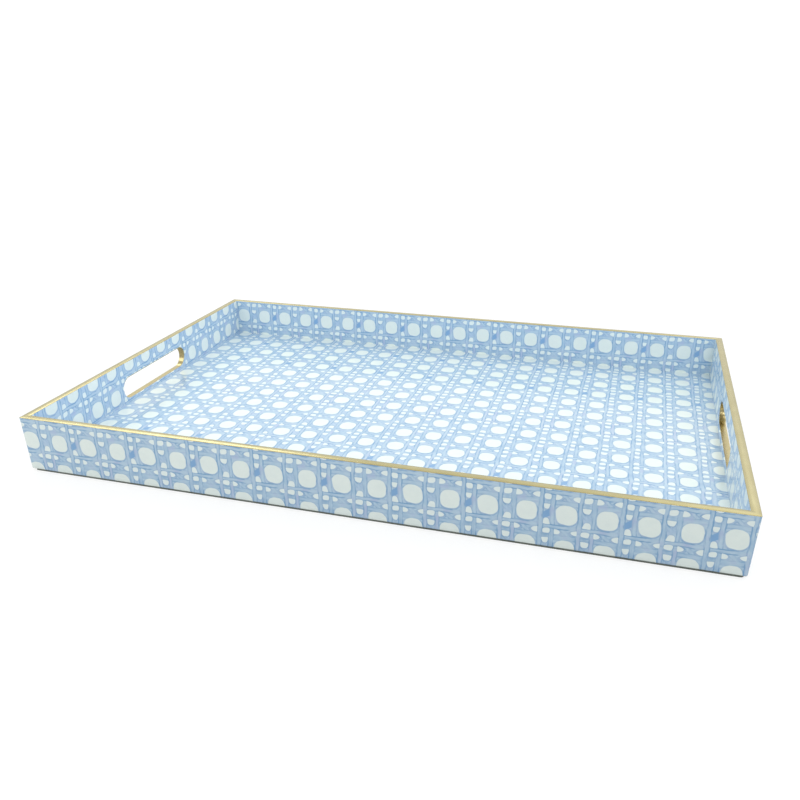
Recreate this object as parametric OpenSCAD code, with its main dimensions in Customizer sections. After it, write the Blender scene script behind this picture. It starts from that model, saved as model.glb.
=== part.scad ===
// Rectangular serving tray: four leaning walls mitred round a flat board, covered
// inside and out with printed paper, with gilt edging and a gilt-lined hand slot in
// each end. Millimetres, +Z up. The origin is the middle of the underside.

/* [Tray] */
// Length over the top edging, along X
tray_length = 457; // [380:1:520]
// Width over the top edging, along Y
tray_width = 305; // [250:1:360]
// Height from the table to the top of the edging
tray_height = 40; // [36:0.5:60]
// How far each wall leans out over the tray's height
wall_lean = 1.5; // [0.5:0.1:4]
// Thickness of a finished wall, measured level
wall_t = 5.2; // [4.5:0.1:9]

/* [Base] */
// Thickness of the board under the floor
board_t = 6.5; // [5:0.1:10]
// Thickness of the felt under the tray
felt_t = 1.4; // [0.8:0.1:2]
// How far the felt stops short of the tray's lower edge
felt_inset = 1.4; // [1.4:0.1:4]
// Corner radius of the felt
felt_corner_r = 2; // [1:0.5:6]

/* [Covering] */
// Thickness of the lacquered paper
paper_t = 0.3; // [0.25:0.05:0.5]
// Radius where the outer paper turns under a wall
turn_r = 1.3; // [0.9:0.1:2]

/* [Edging] */
// Thickness of the gilt edging at its middle, on top of the walls
edging_h = 0.5; // [0.4:0.05:1.5]
// How much higher the edging's middle is than its two sides
edging_crown = 0.3; // [0.1:0.05:0.35]

/* [Hand slots] */
// Length of each hand slot, inside its lining
slot_length = 90; // [70:1:110]
// Height of each hand slot, inside its lining
slot_height = 16.8; // [14:0.1:18]
// Height of the slot's middle above the table
slot_z = 18.7; // [18.6:0.1:22]
// How far each slot's middle stands from the middle of its wall, toward the back
slot_shift = -1.5; // [-3:0.1:3]
// Thickness of the gilt lining
lining_t = 0.8; // [0.6:0.1:1.2]
// How far the gilt lining stands out past the outer paper
lining_proud = 0.4; // [0:0.1:0.4]

/* [Pins] */
// Diameter of a panel pin's shank
pin_d = 1.2; // [1:0.1:1.4]
// Diameter of a panel pin's head
pin_head_d = 2; // [1.8:0.1:2.2]
// Length of a panel pin with its head
pin_length = 15; // [12:0.5:20]
// Number of pins through each long wall into the board
pins_long = 5; // [3:1:9]
// Number of pins through each end wall into the board
pins_end = 3; // [2:1:5]
// Height of the lower pin across each mitre
mitre_pin_low_z = 13; // [11:1:16]
// Height of the upper pin across each mitre
mitre_pin_high_z = 30; // [22:1:32]

/* [Hidden] */
$fn = 48;

half_length = tray_length / 2;
half_width = tray_width / 2;
board_top_z = felt_t + board_t;
edging_z = tray_height - edging_h;
lean_angle = atan(wall_lean / tray_height);
// Thickness of a pin's head, and of the filler between it and the paper
pin_head_h = 0.6;
pin_cover = 0.5;
// Distance from the tray's corners to the outermost pins
pin_margin = 45;
// Number of flats in the turn at a wall's foot, and across the edging's crown
arc_steps = 8;
crown_steps = 12;
// How far inward a mitre cut reaches, and how far cutters run past a face
mitre_depth = 15;
overrun = 1;

print_blue = [0.62, 0.75, 0.90];
gilt = [0.80, 0.70, 0.42];
board_tan = [0.72, 0.58, 0.42];
felt_green = [0.20, 0.24, 0.22];
steel_grey = [0.62, 0.63, 0.65];

// ---- The walls' cross-section. u runs inward from the top outer edge, v is height.

// Level distance from the top outer edge's plane to the outer face at height z
function lean_at(z) = wall_lean * (1 - z / tray_height);

// A point at height z, a level distance u inward of the outer face
function inward(u, z) = [lean_at(z) + u, z];

// Middle of the turn at the foot of a wall
turn_z = felt_t + turn_r;
turn_centre = inward(turn_r / cos(lean_angle), turn_z);

// Outer face, turn and underside, all a depth d inside the finished surface
function outer_line(d, top_z) = concat(
    [inward(d / cos(lean_angle), top_z)],
    [for (i = [0 : arc_steps])
        let (a = lean_angle + (90 - lean_angle) * i / arc_steps)
        turn_centre - (turn_r - d) * [cos(a), sin(a)]],
    [inward(wall_t - paper_t, felt_t + d)]
);

function reversed(list) = [for (i = [len(list) - 1 : -1 : 0]) list[i]];

module core_section() {
    polygon(concat(
        outer_line(paper_t, edging_z),
        [inward(wall_t - paper_t, edging_z)]
    ));
}

module outer_paper_section() {
    polygon(concat(outer_line(0, edging_z), reversed(outer_line(paper_t, edging_z))));
}

module inner_paper_section() {
    polygon([
        inward(wall_t - paper_t, board_top_z),
        inward(wall_t, board_top_z),
        inward(wall_t, edging_z),
        inward(wall_t - paper_t, edging_z)
    ]);
}

module edging_section() {
    crown = [
        for (i = [0 : crown_steps])
            let (side = 2 * i / crown_steps - 1)
            inward(wall_t * i / crown_steps, tray_height - edging_crown * side * side)
    ];
    polygon(concat([inward(0, edging_z)], crown, [inward(wall_t, edging_z)]));
}

// The wall with its paper on both faces, from the table to the top
module finished_wall_section() {
    polygon([inward(0, 0), inward(wall_t, 0), inward(wall_t, tray_height), inward(0, tray_height)]);
}

// ---- Placing

// Runs a section along a wall whose top outer edge is at y = -reach, mitred at both ends
module run_along_wall(half_span, reach) {
    intersection() {
        translate([0, -reach, 0])
            rotate([90, 0, 90])
                linear_extrude(2 * (half_span + overrun), center = true) children();
        translate([0, -reach, -overrun])
            linear_extrude(tray_height + 2 * overrun)
                polygon([
                    [-half_span - overrun, -overrun], [half_span + overrun, -overrun],
                    [half_span - mitre_depth, mitre_depth], [mitre_depth - half_span, mitre_depth]
                ]);
    }
}

module front_side() { run_along_wall(half_length, half_width) children(); }
module back_side() { mirror([0, 1, 0]) front_side() children(); }
module right_side() { rotate([0, 0, 90]) run_along_wall(half_width, half_length) children(); }
module left_side() { mirror([1, 0, 0]) right_side() children(); }

// A solid stadium along X, of the slot's size grown by margin all round
module slot_prism(margin) {
    r = slot_height / 2 + margin;
    straight = slot_length - slot_height;
    start = half_length - wall_lean - wall_t - overrun;
    length = half_length + overrun - start;
    translate([start, slot_shift, slot_z]) {
        translate([0, -straight / 2, -r]) cube([length, straight, 2 * r]);
        for (side = [-1, 1])
            translate([0, side * straight / 2, 0]) rotate([0, 90, 0]) cylinder(h = length, r = r);
    }
}

// ---- Pins

// A pin along +X with its head's outer end at the origin. It also cuts its own hole.
module pin() {
    rotate([0, 90, 0]) cylinder(h = pin_head_h, d = pin_head_d);
    rotate([0, 90, 0]) cylinder(h = pin_length, d = pin_d);
}

board_pin_z = felt_t + board_t / 2;
board_pin_depth = lean_at(board_pin_z) + paper_t + pin_cover;

// Pins driven level through the four walls into the board's edges
module all_board_pins() {
    long_pitch = (tray_length - 2 * pin_margin) / (pins_long - 1);
    end_pitch = (tray_width - 2 * pin_margin) / (pins_end - 1);
    for (i = [0 : pins_long - 1], turn = [0, 180]) {
        x = (i - (pins_long - 1) / 2) * long_pitch;
        rotate([0, 0, turn])
            translate([x, board_pin_depth - half_width, board_pin_z]) rotate([0, 0, 90]) pin();
    }
    for (i = [0 : pins_end - 1], turn = [0, 180]) {
        y = (i - (pins_end - 1) / 2) * end_pitch;
        rotate([0, 0, turn]) translate([board_pin_depth - half_length, y, board_pin_z]) pin();
    }
}

// Pins driven along X through the end walls, across the mitres, into the long walls
module all_mitre_pins() {
    for (z = [mitre_pin_low_z, mitre_pin_high_z], flip_x = [0, 1], flip_y = [0, 1])
        mirror([flip_x, 0, 0]) mirror([0, flip_y, 0])
            translate([
                lean_at(z) + paper_t + pin_cover - half_length,
                lean_at(z) + wall_t / 2 - half_width,
                z
            ]) pin();
}

// ---- Pieces

module felt_pad() {
    // A rounded plate, made of two crossed plates and four corner discs
    length = tray_length - 2 * (lean_at(felt_t) + felt_inset);
    width = tray_width - 2 * (lean_at(felt_t) + felt_inset);
    color(felt_green) linear_extrude(felt_t) {
        square([length - 2 * felt_corner_r, width], center = true);
        square([length, width - 2 * felt_corner_r], center = true);
        for (x = [-1, 1], y = [-1, 1])
            translate([x * (length / 2 - felt_corner_r), y * (width / 2 - felt_corner_r)])
                circle(felt_corner_r);
    }
}

// The space inside the walls at a level depth u, between two heights
module leaning_plate(u, z0, z1) {
    plan = [[half_length, tray_width], [half_width, tray_length]];
    intersection_for (i = [0, 1]) {
        reach = plan[i][0];
        rotate([0, 0, i == 0 ? 90 : 0])
            rotate([90, 0, 90])
                linear_extrude(plan[i][1], center = true)
                    polygon([
                        [lean_at(z0) + u - reach, z0], [reach - lean_at(z0) - u, z0],
                        [reach - lean_at(z1) - u, z1], [lean_at(z1) + u - reach, z1]
                    ]);
    }
}

module base_board() {
    color(board_tan) difference() {
        leaning_plate(wall_t - paper_t, felt_t, board_top_z);
        all_board_pins();
    }
}

module floor_paper() {
    // Cut square, to the walls' line at the paper's underside
    inset = lean_at(board_top_z) + wall_t;
    color(print_blue)
        translate([0, 0, board_top_z])
            linear_extrude(paper_t)
                square([tray_length - 2 * inset, tray_width - 2 * inset], center = true);
}

module long_wall_core() {
    difference() {
        front_side() core_section();
        all_board_pins();
        all_mitre_pins();
    }
}

module end_wall_core() {
    difference() {
        right_side() core_section();
        slot_prism(lining_t);
        all_board_pins();
        all_mitre_pins();
    }
}

module front_wall() { color(board_tan) long_wall_core(); }
module back_wall() { color(board_tan) mirror([0, 1, 0]) long_wall_core(); }
module right_end_wall() { color(board_tan) end_wall_core(); }
module left_end_wall() { color(board_tan) mirror([1, 0, 0]) end_wall_core(); }

module front_edging() { color(gilt) front_side() edging_section(); }
module back_edging() { color(gilt) back_side() edging_section(); }
module right_edging() { color(gilt) right_side() edging_section(); }
module left_edging() { color(gilt) left_side() edging_section(); }

module front_inner_paper() { color(print_blue) front_side() inner_paper_section(); }
module back_inner_paper() { color(print_blue) back_side() inner_paper_section(); }
module front_outer_paper() { color(print_blue) front_side() outer_paper_section(); }
module back_outer_paper() { color(print_blue) back_side() outer_paper_section(); }

// An end wall's paper, with the slot cut out of it
module slotted_end_paper() {
    difference() {
        right_side() children();
        slot_prism(lining_t);
    }
}

module right_inner_paper() { color(print_blue) slotted_end_paper() inner_paper_section(); }
module left_inner_paper() { color(print_blue) mirror([1, 0, 0]) slotted_end_paper() inner_paper_section(); }
module right_outer_paper() { color(print_blue) slotted_end_paper() outer_paper_section(); }
module left_outer_paper() { color(print_blue) mirror([1, 0, 0]) slotted_end_paper() outer_paper_section(); }

module slot_lining() {
    intersection() {
        union() {
            right_side() finished_wall_section();
            translate([lining_proud, 0, 0]) right_side() finished_wall_section();
        }
        difference() {
            slot_prism(lining_t);
            slot_prism(0);
        }
    }
}

module right_slot_lining() { color(gilt) slot_lining(); }
module left_slot_lining() { color(gilt) mirror([1, 0, 0]) slot_lining(); }

module board_pins() { color(steel_grey) all_board_pins(); }
module mitre_pins() { color(steel_grey) all_mitre_pins(); }

felt_pad();
base_board();
front_wall();
back_wall();
left_end_wall();
right_end_wall();
front_edging();
back_edging();
left_edging();
right_edging();
left_slot_lining();
right_slot_lining();
floor_paper();
front_inner_paper();
back_inner_paper();
left_inner_paper();
right_inner_paper();
front_outer_paper();
back_outer_paper();
left_outer_paper();
right_outer_paper();
board_pins();
mitre_pins();
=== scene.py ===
"""Serving tray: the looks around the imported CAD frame."""

import math

import bmesh
import bpy
from mathutils import Matrix, Vector


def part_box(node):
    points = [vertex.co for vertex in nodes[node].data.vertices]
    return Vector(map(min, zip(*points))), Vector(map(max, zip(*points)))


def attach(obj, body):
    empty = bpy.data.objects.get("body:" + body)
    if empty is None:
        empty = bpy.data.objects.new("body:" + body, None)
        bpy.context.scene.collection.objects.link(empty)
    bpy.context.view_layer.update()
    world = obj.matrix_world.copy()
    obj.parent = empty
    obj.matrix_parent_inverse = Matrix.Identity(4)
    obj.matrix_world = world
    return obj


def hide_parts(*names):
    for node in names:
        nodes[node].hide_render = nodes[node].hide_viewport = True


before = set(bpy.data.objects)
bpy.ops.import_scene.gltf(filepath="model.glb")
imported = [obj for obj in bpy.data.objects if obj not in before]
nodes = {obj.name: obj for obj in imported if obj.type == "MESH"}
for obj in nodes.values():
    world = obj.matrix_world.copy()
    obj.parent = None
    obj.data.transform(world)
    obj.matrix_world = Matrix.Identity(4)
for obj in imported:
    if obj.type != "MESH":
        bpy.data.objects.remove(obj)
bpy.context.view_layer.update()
MM = 0.001
X, Y, Z = 0, 1, 2

# ---- Sizes, in mm, as the CAD has them
low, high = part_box("front_edging")
WALL_LEAN = 1.5
WALL_T = 5.2
PAPER_T = 0.3
EDGING_CROWN = 0.3
TURN_R = 1.3
TRAY_HEIGHT = high.z / MM
EDGING_Z = low.z / MM
EDGE_INSET = WALL_LEAN * EDGING_CROWN / TRAY_HEIGHT
HALF_LENGTH = high.x / MM + EDGE_INSET
HALF_WIDTH = -low.y / MM + EDGE_INSET
FELT_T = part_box("felt_pad")[1].z / MM
BOARD_TOP_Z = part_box("floor_paper")[0].z / MM
LINING_T, LINING_PROUD = 0.8, 0.4
# The slots, inside their linings. Their middle is a little toward the front of the tray.
low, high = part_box("right_slot_lining")
SLOT_LENGTH = 90.0
SLOT_HEIGHT = (high.z - low.z) / MM - 2 * LINING_T
SLOT_SHIFT = (high.y + low.y) / 2 / MM
SLOT_Z = (high.z + low.z) / 2 / MM

# Rounding that the CAD leaves out, as radii
CORNER_R = 1.0
INNER_CORNER_R = 0.12
EDGING_EDGE_R = 0.18
LINING_EDGE_R = 0.1
# The inner paper's turned edge at the slot, and the gilt shown beside it
SLOT_TOP_R, SLOT_FOOT_R = 0.35, 1.1
SLOT_TOP_GAP, SLOT_FOOT_GAP = 0.5, 0.1
# How far the lining reaches under the turned edge
LINING_TUCK = 0.1


# ---- Node helpers

class Tree:
    """Short ways to add nodes to one node tree."""

    def __init__(self, tree):
        self.tree = tree

    def add(self, kind, **settings):
        node = self.tree.nodes.new(kind)
        for name, value in settings.items():
            setattr(node, name, value)
        return node

    def put(self, socket, value):
        if isinstance(value, bpy.types.NodeSocket):
            self.tree.links.new(value, socket)
        elif isinstance(value, (tuple, list)) and len(value) == 3 and socket.type == "RGBA":
            socket.default_value = (*value, 1)
        else:
            socket.default_value = value

    def math(self, op, *values):
        node = self.add("ShaderNodeMath", operation=op)
        for i, value in enumerate(values):
            self.put(node.inputs[i], value)
        return node.outputs[0]

    def vector(self, x, y, z):
        node = self.add("ShaderNodeCombineXYZ")
        for i, value in enumerate((x, y, z)):
            self.put(node.inputs[i], value)
        return node.outputs[0]

    def parts(self, vector):
        node = self.add("ShaderNodeSeparateXYZ")
        self.put(node.inputs[0], vector)
        return node.outputs

    def scaled(self, vector, scale):
        node = self.add("ShaderNodeVectorMath", operation="MULTIPLY")
        self.put(node.inputs[0], vector)
        node.inputs[1].default_value = scale
        return node.outputs[0]

    def noise(self, vector, scale, detail=2.0, rough=0.5, distortion=0.0):
        node = self.add("ShaderNodeTexNoise")
        self.put(node.inputs["Vector"], vector)
        node.inputs["Scale"].default_value = scale
        node.inputs["Detail"].default_value = detail
        node.inputs["Roughness"].default_value = rough
        node.inputs["Distortion"].default_value = distortion
        return node.outputs

    def mix(self, fac, a, b, blend="MIX"):
        node = self.add("ShaderNodeMix", data_type="RGBA", blend_type=blend)
        self.put(node.inputs[0], fac)
        self.put(node.inputs[6], a)
        self.put(node.inputs[7], b)
        return node.outputs[2]

    def step(self, value, start, end, low=0.0, high=1.0, smooth=True):
        """Goes from low to high as value goes from start to end."""
        node = self.add("ShaderNodeMapRange",
                        interpolation_type="SMOOTHSTEP" if smooth else "LINEAR")
        for i, v in enumerate((value, start, end, low, high)):
            self.put(node.inputs[i], v)
        return node.outputs[0]

    def ramp(self, fac, stops):
        node = self.add("ShaderNodeValToRGB")
        self.put(node.inputs[0], fac)
        ramp = node.color_ramp
        while len(ramp.elements) < len(stops):
            ramp.elements.new(0.5)
        for element, (place, colour) in zip(ramp.elements, stops):
            element.position = place
            element.color = (*colour, 1)
        return node.outputs[0]

    def bump(self, shader, height, strength, distance):
        """Bumps the shader's surface. distance is in mm."""
        node = self.add("ShaderNodeBump")
        node.inputs["Strength"].default_value = strength
        node.inputs["Distance"].default_value = distance * MM
        self.put(node.inputs["Height"], height)
        self.put(shader.inputs["Normal"], node.outputs[0])


def new_material(name):
    mat = bpy.data.materials.new(name)
    mat.use_nodes = True
    mat.node_tree.nodes.clear()
    t = Tree(mat.node_tree)
    out = t.add("ShaderNodeOutputMaterial")
    shader = t.add("ShaderNodeBsdfPrincipled")
    t.tree.links.new(shader.outputs[0], out.inputs[0])
    return mat, t, shader


# ---- Colours and surface values
# Each list of colours goes with places on a noise from 0 to 1
GILTS = [
    (0.34, (0.46, 0.405, 0.215)),
    (0.5, (0.48, 0.425, 0.228)),
    (0.68, (0.50, 0.445, 0.243)),
]
# A warmer copy of the gilt for the slots: painted warm light from the gold's own reflections inside
# the slot
SLOT_GILTS_PAINTED_WARM = [
    (0.34, (0.49, 0.41, 0.205)),
    (0.5, (0.51, 0.43, 0.22)),
    (0.68, (0.53, 0.45, 0.235)),
]
RUBBED_GILT = (0.44, 0.375, 0.19)
EDGE_DARK_GILT = (0.38, 0.32, 0.165)
FELT_DARK, FELT_LIGHT, FELT_FIBRE = (0.105, 0.122, 0.105), (0.150, 0.170, 0.145), (0.22, 0.24, 0.21)
BOARD_DARK, BOARD_LIGHT = (0.36, 0.24, 0.13), (0.55, 0.40, 0.25)
STEEL_DARK, STEEL_LIGHT = (0.50, 0.51, 0.53), (0.66, 0.67, 0.69)
# Where the gilt is rubbed: a step on its noise, and how fast that noise changes
RUBBED = (0.50, 0.75, 0.0, 0.35)
GRAIN_ACROSS, GRAIN_ALONG = 260.0, 30.0
# Where a rim turns darker toward its edges, as a share of half its width, and how far that wanders
EDGE_DARK_STEP, EDGE_DARK_WANDER = (0.84, 1.0, 0.0, 0.7), 0.1
LOOSE_FIBRE = (0.45, 0.75)
# Roughness is (noise from, noise to, least, most)
LACQUER_ROUGH = (0.3, 0.7, 0.15, 0.21)
GILT_ROUGH = (0.3, 0.7, 0.22, 0.30)
STEEL_ROUGH = (0.3, 0.7, 0.22, 0.4)
BOARD_ROUGH, FELT_ROUGH = 0.85, 0.95
FELT_SHEEN = 0.3
LACQUER_IOR = 1.5

# ---- The printed cane pattern. One cell holds one octagonal opening.

GROUND = (0.82, 0.905, 0.895)
OPENING = (0.825, 0.905, 0.875)
BLUES = [
    (0.34, (0.37, 0.535, 0.715)),
    (0.45, (0.43, 0.60, 0.765)),
    (0.56, (0.49, 0.64, 0.78)),
    (0.67, (0.46, 0.57, 0.765)),
]
WASH = (0.47, 0.61, 0.775)
STREAK = (0.56, 0.71, 0.835)
LINE_BLUE = (0.20, 0.38, 0.62)
SQUARE_BLUE = (0.24, 0.43, 0.70)
PALE_SQUARE = (0.45, 0.60, 0.79)
# Distances in cells. The posts stand a little closer beside a dark square.
POST_AT, POST_DARK_SHIFT, POST_HALF = 0.332, 0.016, 0.062
TOP_BAR_AT, TOP_BAR_HALF = 0.337, 0.070
LOW_BAR_AT, LOW_BAR_HALF = -0.370, 0.062
SLANT_AT, SLANT_HALF, SLANT_DROP = 0.5, 0.080, 0.02
OPENING_HALF = (0.256, 0.270)
OPENING_POWER = 2.5
KNOT_HALF = (0.088, 0.10)
# Small holes: the straight side's place, length along the taper, half width
UPPER_HOLE = (0.272, 0.150)
LOWER_HOLE = (-0.306, 0.165)
WEDGE_HOLE = (0.290, 0.155, 0.078)
CORNER_HOLE_HALF = 0.078
# The holes keep a little clear of the posts
POST_CLEAR = 1.06
# Powers that shape the holes' sides and tapers, from a diamond at 1 to a box
HOLE_SIDE_POWER, HOLE_TAPER_POWER = 3.2, 2.2
CORNER_HOLE_POWER = 3.6
WEDGE_TAPER_POWER, WEDGE_SIDE_POWER = 1.8, 1.9
# The squares climb across the gap they are in
KNOT_CLIMB = 0.55
KNOT_SOFT = (0.012, 0.015)
PALE_KNOT = 0.5
# How far the drawing wanders, slowly and quickly
WOBBLE, TREMOR = 0.045, 0.011
# Keeps a count of cells positive
FAR_CELLS = 1000.0
# Steps are (from, to) or (from, to, value before, value after)
FAINT_LINE = (0.40, 0.62, 0.15, 0.60)
MID_LINE = (0.40, 0.62, 0.35, 0.90)
FIRM_LINE = (0.36, 0.58, 0.40, 0.95)
# Streaks change fast across a strand and slowly along it
STREAK_STRETCH = (8, 1.2)
STREAK_TONE = (0.42, 0.70, 0.0, 0.6)
STRAND_EDGE = (1.12, 0.92)
LINE_INSIDE, LINE_OUTSIDE = (0.35, 0.80), (1.30, 1.0)
LINE_WORN = (0.62, 0.40, 0.45, 1.0)
LOW_BAR_DIES, LOW_BAR_RETURNS = (0.02, 0.14, 1.0, 0.05), (0.36, 0.42)
LOW_BAR_PRESS = (0.36, 0.58, 0.8, 1.0)
HOLE_CUT, WEDGE_CUT = (0.0, -0.12, 0.0, 1.5), (0.0, -0.10, 0.0, 1.5)
HOLE_OUTLINE, HOLE_EDGE = (1.75, 1.15), (1.18, 0.86)
OPENING_OUTLINE, OPENING_EDGE = (1.25, 1.08), (1.06, 0.98)
LOWER_RIGHT = (-0.12, 0.2)
# Where the mottle's noise is cut, and its tones
MOTTLE_SLICE = 3.7
PRINT_MOTTLE = [(0.3, (0.95, 0.962, 0.975)), (0.7, (1, 1, 1))]


def build_cane_group():
    group = bpy.data.node_groups.new("cane_print", "ShaderNodeTree")
    for name in ("U", "V", "Dark row"):
        group.interface.new_socket(name, in_out="INPUT", socket_type="NodeSocketFloat")
    group.interface.new_socket("Color", in_out="OUTPUT", socket_type="NodeSocketColor")
    t = Tree(group)
    source = t.add("NodeGroupInput")
    u, v, dark_row = source.outputs[:3]

    # Repeats every two cells along U, as a printed roll does
    turn = t.math("MULTIPLY", u, math.pi)
    ring = t.vector(
        t.math("MULTIPLY", t.math("COSINE", turn), 1 / math.pi),
        t.math("MULTIPLY", t.math("SINE", turn), 1 / math.pi),
        v,
    )
    wobble = t.parts(t.noise(ring, scale=2.2, detail=1.0)[1])
    tremor = t.parts(t.noise(ring, scale=7.0, detail=0.0)[1])

    def drawn(coordinate, i):
        slow = t.math("MULTIPLY_ADD", wobble[i], 2 * WOBBLE, -WOBBLE)
        fast = t.math("MULTIPLY_ADD", tremor[i], 2 * TREMOR, -TREMOR)
        return t.math("ADD", t.math("ADD", coordinate, slow), fast)

    du, dv = drawn(u, X), drawn(v, Y)
    gap = t.math("FLOOR", du)
    is_odd = t.math("PINGPONG", t.math("ADD", gap, FAR_CELLS), 1.0)
    x = t.math("SUBTRACT", du, t.math("ROUND", du))
    y = t.math("SUBTRACT", dv, t.math("ROUND", dv))
    ax, ay = t.math("ABSOLUTE", x), t.math("ABSOLUTE", y)

    # Tints of the strands, streaks along them, and the pressure of the pen
    tint = t.noise(ring, scale=1.5, rough=0.6)[0]
    tint_b = t.noise(t.scaled(ring, (1, 1, -1)), scale=2.0, rough=0.6)[0]
    across, along = STREAK_STRETCH
    along_v = t.noise(t.scaled(ring, (across, across, along)), scale=3.0, rough=0.6)[0]
    along_h = t.noise(t.scaled(ring, (along, along, across)), scale=3.0, rough=0.6)[0]
    press = t.parts(t.noise(ring, scale=2.6, detail=1.0)[1])

    def apart(a, b):
        return t.math("ABSOLUTE", t.math("SUBTRACT", a, b))

    def strand(under, distance, half, fill, streak, line):
        """A strand over what is under it, with a drawn line along each side."""
        near = t.math("DIVIDE", distance, half)
        tone = t.mix(t.step(streak, *STREAK_TONE), t.ramp(fill, BLUES), STREAK)
        out = t.mix(t.step(near, *STRAND_EDGE), under, tone)
        edge = t.math("MULTIPLY", t.step(near, *LINE_INSIDE), t.step(near, *LINE_OUTSIDE))
        edge = t.math("MULTIPLY", edge, line)
        edge = t.math("MULTIPLY", edge, t.step(streak, *LINE_WORN))
        return t.mix(edge, out, LINE_BLUE)

    def power(value, half, exponent):
        return t.math("POWER", t.math("ABSOLUTE", t.math("DIVIDE", value, half)), exponent)

    # How far a point is from the opening's outline and from each strand's middle
    width, height = OPENING_HALF
    rim = t.math("ADD", power(x, width, OPENING_POWER), power(y, height, OPENING_POWER))
    rim = t.math("POWER", rim, 1 / OPENING_POWER)
    shifted = t.math("ADD", y, SLANT_DROP)
    rising = apart(apart(x, shifted), SLANT_AT)
    falling = apart(t.math("ABSOLUTE", t.math("ADD", x, shifted)), SLANT_AT)
    post_at = t.math("MULTIPLY_ADD", is_odd, POST_DARK_SHIFT, POST_AT)

    # How firmly the lines are drawn
    faint = t.step(press[0], *FAINT_LINE)
    firm = t.step(press[1], *FIRM_LINE)
    mid = t.step(press[2], *MID_LINE)

    # Strands from the lowest to the highest, over a blue wash
    out = strand(WASH, rising, SLANT_HALF, tint_b, along_h, faint)
    out = strand(out, falling, SLANT_HALF, tint_b, along_v, faint)
    out = strand(out, apart(y, TOP_BAR_AT), TOP_BAR_HALF, tint_b, along_h, faint)
    out = strand(out, apart(x, t.math("MULTIPLY", post_at, -1.0)), POST_HALF, tint, along_v, mid)
    # The lower bar is firm beside each post and dies away past the opening's middle
    reach = t.math("MULTIPLY", t.step(x, *LOW_BAR_DIES), t.step(press[1], *LOW_BAR_PRESS))
    reach = t.math("MAXIMUM", reach, t.step(x, *LOW_BAR_RETURNS))
    out = strand(out, apart(y, LOW_BAR_AT), LOW_BAR_HALF, tint, along_h, reach)
    out = strand(out, apart(x, post_at), POST_HALF, tint, along_v, firm)

    # Small holes between the strands
    gap_x = t.math("SUBTRACT", 0.5, ax)
    gap_half = t.math("SUBTRACT", 0.5 - POST_HALF * POST_CLEAR, post_at)
    beside = power(gap_x, gap_half, HOLE_SIDE_POWER)
    holes = []
    for (start, length), sign in ((UPPER_HOLE, -1.0), (LOWER_HOLE, 1.0)):
        down = t.math("DIVIDE", t.math("SUBTRACT", y, start), sign * length)
        narrowing = t.math("POWER", t.math("MAXIMUM", down, 0.0), HOLE_TAPER_POWER)
        body = t.math("ADD", beside, narrowing)
        holes.append(t.math("ADD", body, t.step(down, *HOLE_CUT)))
    corner_y = power(t.math("SUBTRACT", 0.5, ay), CORNER_HOLE_HALF, CORNER_HOLE_POWER)
    holes.append(t.math("ADD", beside, corner_y))
    start, length, half = WEDGE_HOLE
    taper = t.math("DIVIDE", t.math("SUBTRACT", start, ax), length)
    narrowing = t.math("POWER", t.math("MAXIMUM", taper, 0.0), WEDGE_TAPER_POWER)
    body = t.math("ADD", narrowing, power(t.math("SUBTRACT", 0.5, ay), half, WEDGE_SIDE_POWER))
    holes.append(t.math("ADD", body, t.step(taper, *WEDGE_CUT)))
    nearest = holes[0]
    for hole in holes[1:]:
        nearest = t.math("MINIMUM", nearest, hole)
    out = t.mix(t.math("MULTIPLY", t.step(nearest, *HOLE_OUTLINE), faint), out, LINE_BLUE)
    out = t.mix(t.step(nearest, *HOLE_EDGE), out, GROUND)

    # A small square where the slanting strands cross between two openings
    slant = t.math("MULTIPLY_ADD", t.math("FRACT", du), KNOT_CLIMB, -KNOT_CLIMB / 2 - SLANT_DROP)
    within = [
        t.step(distance, half + soft, half - soft)
        for distance, half, soft in zip((gap_x, apart(y, slant)), KNOT_HALF, KNOT_SOFT)
    ]
    knot = t.math("MULTIPLY", *within)
    dark = t.math("MULTIPLY", is_odd, dark_row)
    shown = t.math("MULTIPLY", knot, t.step(dark, 0.0, 1.0, PALE_KNOT, 1.0))
    out = t.mix(shown, out, t.mix(dark, PALE_SQUARE, SQUARE_BLUE))

    # The large opening, over everything, with a part-drawn outline
    lower_right = t.step(t.math("SUBTRACT", x, y), *LOWER_RIGHT)
    outline = t.math("MULTIPLY", t.step(rim, *OPENING_OUTLINE), lower_right)
    outline = t.math("MULTIPLY", outline, faint)
    out = t.mix(outline, out, LINE_BLUE)
    out = t.mix(t.step(rim, *OPENING_EDGE), out, OPENING)

    mottled = t.noise(t.vector(u, v, MOTTLE_SLICE), scale=4.0, detail=4.0, rough=0.65)[0]
    out = t.mix(1.0, out, t.ramp(mottled, PRINT_MOTTLE), "MULTIPLY")
    result = t.add("NodeGroupOutput")
    t.put(result.inputs[0], out)
    return group


cane_group = build_cane_group()


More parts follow.
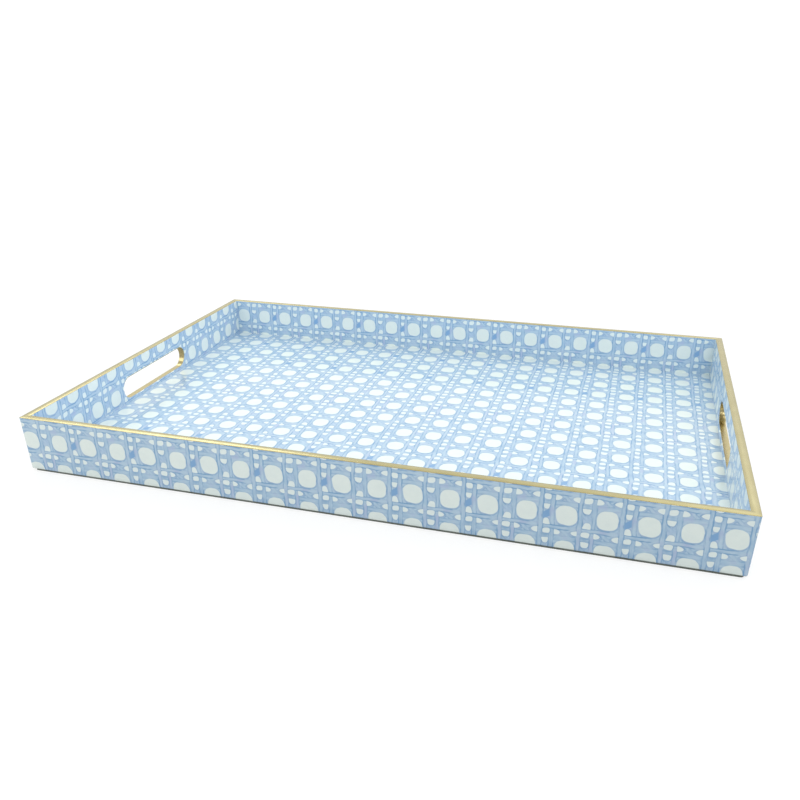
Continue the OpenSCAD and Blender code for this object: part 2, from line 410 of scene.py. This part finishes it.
def cane_material(name, axes, start, pitch, dark_rows=(), half=None):
    """Cane paper whose cell (0, 0) is centred at start, in mm along the two axes.

    The rows listed have a dark square in every other gap. half is the distance of a wall's
    top outer edge, for paper that turns under at the wall's foot.
    """
    mat, t, shader = new_material(name)
    place = t.add("ShaderNodeTexCoord").outputs["Object"]
    xyz = t.parts(t.scaled(place, (1 / MM,) * 3))
    across, up = xyz[axes[0]], xyz[axes[1]]
    if half:
        wall_axis = 1 - axes[0]
        face = t.math("MULTIPLY_ADD", xyz[Z], WALL_LEAN / TRAY_HEIGHT, half - WALL_LEAN)
        under = t.math("SUBTRACT", face, t.math("ABSOLUTE", xyz[wall_axis]))
        at_foot = t.math("LESS_THAN", up, FELT_T + TURN_R)
        up = t.math("SUBTRACT", up, t.math("MULTIPLY", under, at_foot))
    u = t.math("MULTIPLY_ADD", across, 1 / pitch[0], -start[0] / pitch[0])
    v = t.math("MULTIPLY_ADD", up, 1 / pitch[1], -start[1] / pitch[1])
    group = t.add("ShaderNodeGroup", node_tree=cane_group)
    t.put(group.inputs[0], u)
    t.put(group.inputs[1], v)
    found = 0.0
    for row in dark_rows:
        found = t.math("ADD", found, t.math("COMPARE", t.math("ROUND", v), float(row), 0.5))
    t.put(group.inputs[2], found)
    t.put(shader.inputs["Base Color"], group.outputs[0])
    peel = t.noise(place, scale=420.0)[0]
    t.put(shader.inputs["Roughness"], t.step(peel, *LACQUER_ROUGH, smooth=False))
    t.bump(shader, peel, strength=0.05, distance=0.2)
    shader.inputs["IOR"].default_value = LACQUER_IOR
    return mat


def gilt_material(name, along, golds, rim_middle=None):
    """Pale gold leaf, rubbed along one axis. It is darker toward the rim's two edges."""
    mat, t, shader = new_material(name)
    place = t.add("ShaderNodeTexCoord").outputs["Object"]
    stretch = [GRAIN_ACROSS] * 3
    stretch[along] = GRAIN_ALONG
    rubbed = t.noise(t.scaled(place, tuple(stretch)), scale=3.0, detail=4.0, rough=0.6)[0]
    cloud = t.noise(place, scale=70.0, detail=3.0, rough=0.55)[0]
    colour = t.ramp(cloud, golds)
    colour = t.mix(t.step(rubbed, *RUBBED), colour, RUBBED_GILT)
    if rim_middle:
        side = t.parts(place)[1 - along]
        off = t.math("SUBTRACT", t.math("ABSOLUTE", side), rim_middle * MM)
        edge = t.math("DIVIDE", t.math("ABSOLUTE", off), WALL_T / 2 * MM)
        edge = t.math("ADD", edge, t.math("MULTIPLY_ADD", cloud, 2 * EDGE_DARK_WANDER, -EDGE_DARK_WANDER))
        # The gilt is made darker toward the rim's two edges
        colour = t.mix(t.step(edge, *EDGE_DARK_STEP), colour, EDGE_DARK_GILT)
    t.put(shader.inputs["Base Color"], colour)
    shader.inputs["Metallic"].default_value = 1.0
    t.put(shader.inputs["Roughness"], t.step(rubbed, *GILT_ROUGH, smooth=False))
    t.bump(shader, rubbed, strength=0.15, distance=0.1)
    return mat


def felt_material():
    mat, t, shader = new_material("felt")
    place = t.add("ShaderNodeTexCoord").outputs["Object"]
    fibre = t.noise(place, scale=900.0, detail=5.0, rough=0.7, distortion=1.5)[0]
    cloud = t.noise(place, scale=60.0, detail=3.0, rough=0.6)[0]
    colour = t.mix(cloud, FELT_DARK, FELT_LIGHT)
    colour = t.mix(t.step(fibre, *LOOSE_FIBRE), colour, FELT_FIBRE)
    t.put(shader.inputs["Base Color"], colour)
    shader.inputs["Roughness"].default_value = FELT_ROUGH
    shader.inputs["Sheen Weight"].default_value = FELT_SHEEN
    t.bump(shader, fibre, strength=0.6, distance=0.4)
    return mat


def board_material():
    mat, t, shader = new_material("fibreboard")
    place = t.add("ShaderNodeTexCoord").outputs["Object"]
    chips = t.noise(place, scale=700.0, detail=5.0, rough=0.7)[0]
    t.put(shader.inputs["Base Color"], t.mix(chips, BOARD_DARK, BOARD_LIGHT))
    shader.inputs["Roughness"].default_value = BOARD_ROUGH
    t.bump(shader, chips, strength=1.0, distance=0.2)
    return mat


def steel_material():
    mat, t, shader = new_material("drawn_wire")
    place = t.add("ShaderNodeTexCoord").outputs["Object"]
    drawn = t.noise(place, scale=1500.0, detail=3.0, rough=0.6)[0]
    t.put(shader.inputs["Base Color"], t.mix(drawn, STEEL_DARK, STEEL_LIGHT))
    shader.inputs["Metallic"].default_value = 1.0
    t.put(shader.inputs["Roughness"], t.step(drawn, *STEEL_ROUGH, smooth=False))
    return mat


# ---- Where the print falls on each face, in mm: a cell's centre, then the cells' pitch
floor_print = cane_material("print_floor", (X, Y), (4.3, 28.6), (21.69, 22.6),
                            dark_rows=(-5, 2, 4))
back_inner_print = cane_material("print_back_inner", (X, Z), (2.9, 25.7), (21.82, 21.9),
                                 dark_rows=(0,))
end_inner_print = cane_material("print_end_inner", (Y, Z), (10.3, 16.4), (22.9, 21.7))
front_print = cane_material("print_front", (X, Z), (-222.06, 23.8), (22.04, 22.3), dark_rows=(0,),
                            half=HALF_WIDTH)
side_print = cane_material("print_sides", (Y, Z), (4.0, 23.8), (22.04, 22.3), dark_rows=(0,),
                           half=HALF_LENGTH)
gilt_x = gilt_material("gilt_along_x", X, GILTS, HALF_WIDTH - WALL_T / 2)
gilt_y = gilt_material("gilt_along_y", Y, GILTS, HALF_LENGTH - WALL_T / 2)
# The slots' gilt carries painted warm light from the reflections inside the slot
slot_gilt_painted_warm = gilt_material("gilt_in_slot_painted_warm", Y, SLOT_GILTS_PAINTED_WARM)
felt = felt_material()
board = board_material()
steel = steel_material()


# ---- Pieces that run along one side

# Quarter turns from the front, half the side's length, distance of its top outer edge
SIDES = {
    "front": (0, HALF_LENGTH, HALF_WIDTH),
    "right": (1, HALF_WIDTH, HALF_LENGTH),
    "back": (2, HALF_LENGTH, HALF_WIDTH),
    "left": (3, HALF_WIDTH, HALF_LENGTH),
}
# Parts that each curve is drawn with
CORNER_STEPS, ARC_STEPS, END_STEPS, CROWN_STEPS, EDGE_STEPS = 6, 8, 28, 14, 3
# Distance of the extra point that keeps the shading flat beside a curve
GUARD = 0.5
SHARP_ANGLE = 35
# Where the edging's eased edges meet its crown, in degrees above level
EASE_ANGLE = 55
# The flat part of an end wall's outer paper that the slot is cut from
WINDOW_Z = (34.0, 5.0)
WINDOW_HALF = 54.0


def lean_at(z):
    """Level distance from the top outer edge's plane to the outer face at height z."""
    return WALL_LEAN * (1 - z / TRAY_HEIGHT)


def turned(side, x, y, z):
    """A point of the front side, in mm, as a point of the given side, in metres."""
    for _ in range(SIDES[side][0]):
        x, y = -y, x
    return x * MM, y * MM, z * MM


def on_wall(side, along, z, u):
    """A point at a level depth u behind a wall's outer face."""
    return turned(side, along, lean_at(z) + u - SIDES[side][2], z)


def run_points(side, u, z, stops=()):
    """Half of each rounded corner and the straight between them, at depth u and height z."""
    _, half, reach = SIDES[side]
    r = max(CORNER_R - u, INNER_CORNER_R)
    depth = lean_at(z) + u + r
    cx, cy = half - depth, reach - depth
    angles = [math.radians(45 * i / CORNER_STEPS) for i in range(CORNER_STEPS + 1)]
    left = [(-cx - r * math.sin(a), -cy - r * math.cos(a)) for a in reversed(angles)]
    right = [(cx + r * math.sin(a), -cy - r * math.cos(a)) for a in angles]
    middle = [(x, -cy - r) for x in (GUARD - cx, *stops, cx - GUARD)]
    return [turned(side, x, y, z) for x, y in left + middle + right]


def arc(centre, r, start, end, steps=ARC_STEPS):
    """Points of an arc as (u, z), angles in degrees."""
    angles = [math.radians(start + (end - start) * i / steps) for i in range(steps + 1)]
    return [(centre[0] + r * math.cos(a), centre[1] + r * math.sin(a)) for a in angles]


def edging_profile():
    """The crowned top of the edging, its two eased edges and its sides."""
    r = EDGING_EDGE_R
    top = TRAY_HEIGHT - EDGING_CROWN
    crown = []
    for i in range(CROWN_STEPS + 1):
        across = 2 * i / CROWN_STEPS - 1
        u = WALL_T / 2 + across * (WALL_T / 2 - r)
        crown.append((u, TRAY_HEIGHT - EDGING_CROWN * across * across))
    outer = arc((r, top - r), r, 180, 180 - EASE_ANGLE, EDGE_STEPS)
    inner = arc((WALL_T - r, top - r), r, EASE_ANGLE, 0, EDGE_STEPS)
    return [(0, EDGING_Z)] + outer + crown + inner + [(WALL_T, EDGING_Z)]


def outer_paper_profile():
    """The outer face down to the foot and under it, then back along the paper's other side."""
    centre_z = FELT_T + TURN_R

    def line(d):
        face = [(d, z) for z in (EDGING_Z, *WINDOW_Z)]
        turn = arc((TURN_R, centre_z), TURN_R - d, 180, 270)
        return face + turn + [(WALL_T - PAPER_T, FELT_T + d)]

    return line(0), line(PAPER_T)


def new_piece(name, bm, material, slot_name, *replaced):
    """Makes the finished skin an object that stands for the CAD nodes it replaces."""
    bmesh.ops.recalc_face_normals(bm, faces=bm.faces)
    mesh = bpy.data.meshes.new(name)
    bm.to_mesh(mesh)
    bm.free()
    mesh.shade_smooth()
    mesh.set_sharp_from_angle(angle=math.radians(SHARP_ANGLE))
    mesh.materials.append(material)
    piece = bpy.data.objects.new(name, mesh)
    bpy.context.scene.collection.objects.link(piece)
    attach(piece, "root")
    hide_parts(*replaced)


def sweep(bm, rows, skip=()):
    """Joins rows of points into a closed skin with flat ends. skip lists faces to leave open."""
    rows = [[bm.verts.new(p) for p in row] for row in rows]
    for i, (a, b) in enumerate(zip(rows, rows[1:] + rows[:1])):
        for j in range(len(a) - 1):
            if (i, j) not in skip:
                bm.faces.new((a[j], a[j + 1], b[j + 1], b[j]))
    bm.faces.new([row[0] for row in rows])
    bm.faces.new([row[-1] for row in reversed(rows)])
    return rows


def slot_skin(bm, side, profile, closed=False):
    """Rings round the slot, one for each (margin, depth) that profile gives.

    profile takes the radius of the paper's turned edge and the gilt shown beside it. Both
    change from the slot's foot to its top.
    """
    straight = (SLOT_LENGTH - SLOT_HEIGHT) / 2
    shift = SLOT_SHIFT if side == "right" else -SLOT_SHIFT
    outline = []
    for sign in (1, -1):
        angles = [math.pi * (i / END_STEPS - 0.5) for i in range(END_STEPS + 1)]
        turn = [(sign * straight, sign * math.cos(a), sign * math.sin(a)) for a in angles]
        inside = sign * (straight - GUARD)
        outline += [(inside, 0, -sign)] + turn + [(inside, 0, sign)]
    columns = []
    for centre, across, up in outline:
        rise = (1 + up) / 2
        rise = rise * rise * (3 - 2 * rise)
        edge_r = SLOT_FOOT_R + (SLOT_TOP_R - SLOT_FOOT_R) * rise
        gap = SLOT_FOOT_GAP + (SLOT_TOP_GAP - SLOT_FOOT_GAP) * rise
        column = []
        for margin, u in profile(edge_r, gap):
            r = SLOT_HEIGHT / 2 + margin
            point = on_wall(side, shift + centre + r * across, SLOT_Z + r * up, u)
            column.append(bm.verts.new(point))
        columns.append(column)
    rings = [list(ring) for ring in zip(*columns)]
    for a, b in zip(rings, rings[1:] + (rings[:1] if closed else [])):
        for i in range(len(a)):
            k = (i + 1) % len(a)
            bm.faces.new((a[i], a[k], b[k], b[i]))
    return rings


def fill_between(bm, outer, ring):
    """Fills the flat area between an outer loop and a slot ring."""
    edges = []
    for loop in (outer, ring):
        for i in range(len(loop)):
            pair = (loop[i - 1], loop[i])
            edges.append(bm.edges.get(pair) or bm.edges.new(pair))
    bmesh.ops.triangle_fill(bm, use_beauty=True, edges=edges)


def turned_edge(r, gap):
    """The inner paper's rounded edge at the slot, out along its face and back."""
    inside = r - PAPER_T
    turns = [math.radians(90 * i / ARC_STEPS) for i in range(ARC_STEPS + 1)]
    front = [(gap + r - r * math.sin(a), r - r * math.cos(a)) for a in turns]
    back = [(gap + r - inside * math.sin(a), r - inside * math.cos(a)) for a in reversed(turns)]
    return [(m, WALL_T - e) for m, e in front + back]


def cut_edge(r, gap):
    """The outer paper's square edge round the lining."""
    return [(LINING_T, 0), (LINING_T, PAPER_T)]


def lining_band(r, gap):
    """The gilt band from the inner paper's turned edge to its own end outside."""
    soft, tuck = LINING_EDGE_R, LINING_TUCK
    bend, ease = soft / 3, 0.3 * soft
    inner = [(gap + tuck, -tuck), (gap, 0), (bend, bend), (0, soft), (0, 2 * soft)]
    outer = [(0, 2 * soft), (0, soft), (ease, ease), (soft, 0)]
    outer += [(LINING_T - soft, 0), (LINING_T, soft)]
    band = [(m, WALL_T - r + tuck - e) for m, e in inner]
    band += [(m, e - LINING_PROUD) for m, e in outer]
    return band + [(LINING_T, WALL_T - r)]


for side in SIDES:
    bm = bmesh.new()
    sweep(bm, [run_points(side, u, z) for u, z in edging_profile()])
    gilt = gilt_x if side in ("front", "back") else gilt_y
    new_piece(f"{side}_gilt_bead", bm, gilt, "gilt", f"{side}_edging")

face, behind = outer_paper_profile()
for side in SIDES:
    bm = bmesh.new()
    loop = face + behind[::-1]
    if side in ("front", "back"):
        sweep(bm, [run_points(side, u, z) for u, z in loop])
        new_piece(f"{side}_outer_wrap", bm, front_print, "cane_paper", f"{side}_outer_paper")
        continue
    # The window's first column, and its rows outside and on the paper's back
    first = CORNER_STEPS + 2
    window_rows = (1, len(loop) - 3)
    rows = sweep(bm, [run_points(side, u, z, (-WINDOW_HALF, WINDOW_HALF)) for u, z in loop],
                 {(i, first) for i in window_rows})
    rings = slot_skin(bm, side, cut_edge)
    for i, ring in zip(window_rows, (rings[0], rings[-1])):
        a, b = rows[i], rows[i + 1]
        fill_between(bm, [a[first], a[first + 1], b[first + 1], b[first]], ring)
    new_piece(f"{side}_outer_wrap", bm, side_print, "cane_paper", f"{side}_outer_paper")

for side in ("left", "right"):
    # Inner paper, with its edge turned into the slot
    bm = bmesh.new()
    rings = slot_skin(bm, side, turned_edge)
    sheets = []
    for u, ring in ((WALL_T, rings[0]), (WALL_T - PAPER_T, rings[-1])):
        corners = []
        for end, z in ((-1, BOARD_TOP_Z), (1, BOARD_TOP_Z), (1, EDGING_Z), (-1, EDGING_Z)):
            along = end * (SIDES[side][1] - lean_at(z) - WALL_T)
            corners.append(bm.verts.new(on_wall(side, along, z, u)))
        fill_between(bm, corners, ring)
        sheets.append(corners)
    for i in range(4):
        k = (i + 1) % 4
        bm.faces.new((sheets[0][i], sheets[0][k], sheets[1][k], sheets[1][i]))
    new_piece(f"{side}_inner_wrap", bm, end_inner_print, "cane_paper", f"{side}_inner_paper")

    # The gilt lining
    bm = bmesh.new()
    slot_skin(bm, side, lining_band, closed=True)
    new_piece(f"{side}_slot_band", bm, slot_gilt_painted_warm, "gilt", f"{side}_slot_lining")


def dress(material, *names):
    for name in names:
        mesh = nodes[name].data
        mesh.materials.clear()
        mesh.materials.append(material)


dress(floor_print, "floor_paper")
dress(back_inner_print, "back_inner_paper", "front_inner_paper")
dress(end_inner_print, "left_inner_paper", "right_inner_paper")
dress(front_print, "front_outer_paper", "back_outer_paper")
dress(side_print, "left_outer_paper", "right_outer_paper")
dress(gilt_x, "front_edging", "back_edging")
dress(gilt_y, "left_edging", "right_edging")
dress(slot_gilt_painted_warm, "left_slot_lining", "right_slot_lining")
dress(felt, "felt_pad")
dress(board, "base_board", "front_wall", "back_wall", "left_end_wall", "right_end_wall")
dress(steel, "board_pins", "mitre_pins")

# ---- Stage, light and camera
scene = bpy.context.scene
STAGE_HALF = 8.0
STAGE_ROUGH, STAGE_SPECULAR = 0.9, 0.1
STAGE_GREY = (0.30, 0.30, 0.30)
FLOOR_GLOW, BACKDROP_GLOW = 0.72, 1.0
BACKDROP_Y = 7.5
BOUNCE_Z = -0.0005
BOUNCE_LIGHT, BOUNCE_DARK = (0.65, 0.64, 0.62), (0.35, 0.35, 0.34)
# The bounce darkens along x and, in front of the tray, along y
BOUNCE_FADE_X, BOUNCE_FADE_Y = (-0.4, 0.4), (-0.02, -0.16)


def stage_plane(name, z, colour, glow):
    """A level square of the stage that may glow white."""
    bm = bmesh.new()
    bmesh.ops.create_grid(bm, x_segments=1, y_segments=1, size=STAGE_HALF)
    mesh = bpy.data.meshes.new(name)
    bm.to_mesh(mesh)
    bm.free()
    plane = bpy.data.objects.new(name, mesh)
    scene.collection.objects.link(plane)
    plane.location.z = z
    mat, _, shader = new_material(name)
    shader.inputs["Base Color"].default_value = (*colour, 1)
    shader.inputs["Roughness"].default_value = STAGE_ROUGH
    shader.inputs["Specular IOR Level"].default_value = STAGE_SPECULAR
    shader.inputs["Emission Color"].default_value = (1.0, 1.0, 1.0, 1)
    shader.inputs["Emission Strength"].default_value = glow
    mesh.materials.append(mat)
    return plane


# The floor and backdrop that are seen are whiter than what lights the tray
seen = stage_plane("stage_floor", 0, STAGE_GREY, FLOOR_GLOW)
backdrop = stage_plane("stage_backdrop", 0, STAGE_GREY, BACKDROP_GLOW)
backdrop.location.y = BACKDROP_Y
backdrop.rotation_euler.x = math.radians(90)
for plane in (seen, backdrop):
    plane.visible_diffuse = False
    plane.visible_glossy = False
    plane.visible_shadow = False
# The bounce isn't seen. It lights the walls from below.
bounce = stage_plane("stage_bounce", BOUNCE_Z, BOUNCE_LIGHT, 0.0)
bounce.visible_camera = False
t = Tree(bounce.data.materials[0].node_tree)
place = t.parts(t.add("ShaderNodeTexCoord").outputs["Object"])
fade = t.math("MULTIPLY", t.step(place[X], *BOUNCE_FADE_X, smooth=False),
              t.step(place[Y], *BOUNCE_FADE_Y))
shader = next(n for n in t.tree.nodes if n.type == "BSDF_PRINCIPLED")
t.put(shader.inputs["Base Color"], t.mix(fade, BOUNCE_LIGHT, BOUNCE_DARK))

world = bpy.data.worlds.new("studio")
scene.world = world
world.use_nodes = True
world.node_tree.nodes.clear()
t = Tree(world.node_tree)
look = t.parts(t.add("ShaderNodeTexCoord").outputs["Generated"])
# The level all round, its rise from left to right and its rise toward both sides
SKY_LEVEL, SKY_SLOPE, SKY_SIDES = 0.82, 0.245, 0.17
# Steps along the look's x, y or z, as (from, to, value before, value after)
OVERHEAD = (0.4, 1.0, 0.0, 0.06)
IN_FRONT = (-0.2, -0.9, 0.0, 0.07)
BEHIND, BEHIND_X, BEHIND_Z = (0.2, 0.9, 0.0, 0.40), (-0.15, 0.35, 1.0, 0.2), (0.25, 0.34, 0.4, 1.0)
# Two patches behind the tray that its rim mirrors
LEFT_PATCH, LEFT_PATCH_Z = (-0.45, -0.60, 0.0, 0.12), (0.345, 0.375)
RIGHT_PATCH, RIGHT_PATCH_Z = (0.0, 0.08, 0.0, 0.6), (0.385, 0.45)
PATCHES_Y = (0.3, 0.6)
# Blue falls toward the top and rises to the right
BLUE_LEVEL, BLUE_SLOPE, BLUE_RISE, RED_LEVEL = 1.03, 0.04, -0.07, 0.985
sky = t.math("MULTIPLY_ADD", look[X], SKY_SLOPE, SKY_LEVEL)
sky = t.math("MULTIPLY_ADD", t.math("ABSOLUTE", look[X]), SKY_SIDES, sky)
sky = t.math("ADD", sky, t.step(look[Z], *OVERHEAD))
sky = t.math("SUBTRACT", sky, t.step(look[Y], *IN_FRONT))
behind = t.math("MULTIPLY", t.step(look[Y], *BEHIND), t.step(look[X], *BEHIND_X))
sky = t.math("MULTIPLY_ADD", behind, t.step(look[Z], *BEHIND_Z), sky)
left = t.math("MULTIPLY", t.step(look[X], *LEFT_PATCH), t.step(look[Z], *LEFT_PATCH_Z))
right = t.math("MULTIPLY", t.step(look[X], *RIGHT_PATCH), t.step(look[Z], *RIGHT_PATCH_Z))
patches = t.math("MULTIPLY", t.math("ADD", left, right), t.step(look[Y], *PATCHES_Y))
sky = t.math("ADD", sky, patches)
blue = t.math("MULTIPLY_ADD", look[X], BLUE_SLOPE, BLUE_LEVEL)
blue = t.math("MULTIPLY_ADD", look[Z], BLUE_RISE, blue)
glow = t.vector(t.math("MULTIPLY", sky, RED_LEVEL), sky, t.math("MULTIPLY", sky, blue))
background = t.add("ShaderNodeBackground")
t.put(background.inputs["Color"], glow)
out = t.add("ShaderNodeOutputWorld")
t.tree.links.new(background.outputs[0], out.inputs[0])


def softbox(name, place, target, size, radiance, roll=0.0):
    """An area lamp aimed at target and turned about its aim by roll degrees."""
    data = bpy.data.lights.new(name, "AREA")
    data.shape = "RECTANGLE"
    data.size, data.size_y = size
    data.energy = radiance * math.pi * size[0] * size[1]
    lamp = bpy.data.objects.new(name, data)
    scene.collection.objects.link(lamp)
    lamp.location = place
    aim = (Vector(target) - Vector(place)).to_track_quat("-Z", "Y").to_matrix()
    lamp.rotation_euler = (aim @ Matrix.Rotation(math.radians(roll), 3, "Z")).to_euler()


MIDDLE = (0, 0, 0)
LEFT_SLOT, RIGHT_SLOT = (-0.225, 0.04, 0.013), (0.225, 0.04, 0.013)
softbox("key", (-0.45, -1.5, 1.05), MIDDLE, (2.0, 1.1), 0.24)
softbox("rim", (-1.0, 0.84, 1.15), MIDDLE, (0.85, 0.42), 2.4)
# Small lamps for the glints at the far ends of the slots
softbox("left_glint", (-1.19, -1.0, 1.12), LEFT_SLOT, (0.26, 1.05), 3.0, roll=32)
softbox("right_glint", (0.42, -0.84, 1.57), RIGHT_SLOT, (0.35, 0.6), 3.0)
softbox("low_glint", (0.37, -1.13, 0.53), RIGHT_SLOT, (0.2, 0.45), 3.6)

SENSOR = 36
# Focal length as a share of the frame's width
FOCAL = 1.006625
CAMERA_PLACE = (0.15355, -0.5479, 0.2533)
# Degrees: turned to the left, looking down, rolled
CAMERA_TURN, CAMERA_DOWN, CAMERA_ROLL = 16.68, 22.5, -0.277
camera_data = bpy.data.cameras.new("camera")
camera_data.sensor_width = SENSOR
camera_data.lens = SENSOR * FOCAL
camera = bpy.data.objects.new("camera", camera_data)
scene.collection.objects.link(camera)
camera.matrix_world = (
    Matrix.Translation(CAMERA_PLACE)
    @ Matrix.Rotation(math.radians(CAMERA_TURN), 4, "Z")
    @ Matrix.Rotation(math.radians(90 - CAMERA_DOWN), 4, "X")
    @ Matrix.Rotation(math.radians(CAMERA_ROLL), 4, "Z")
)
scene.camera = camera
scene.view_settings.view_transform = "Standard"
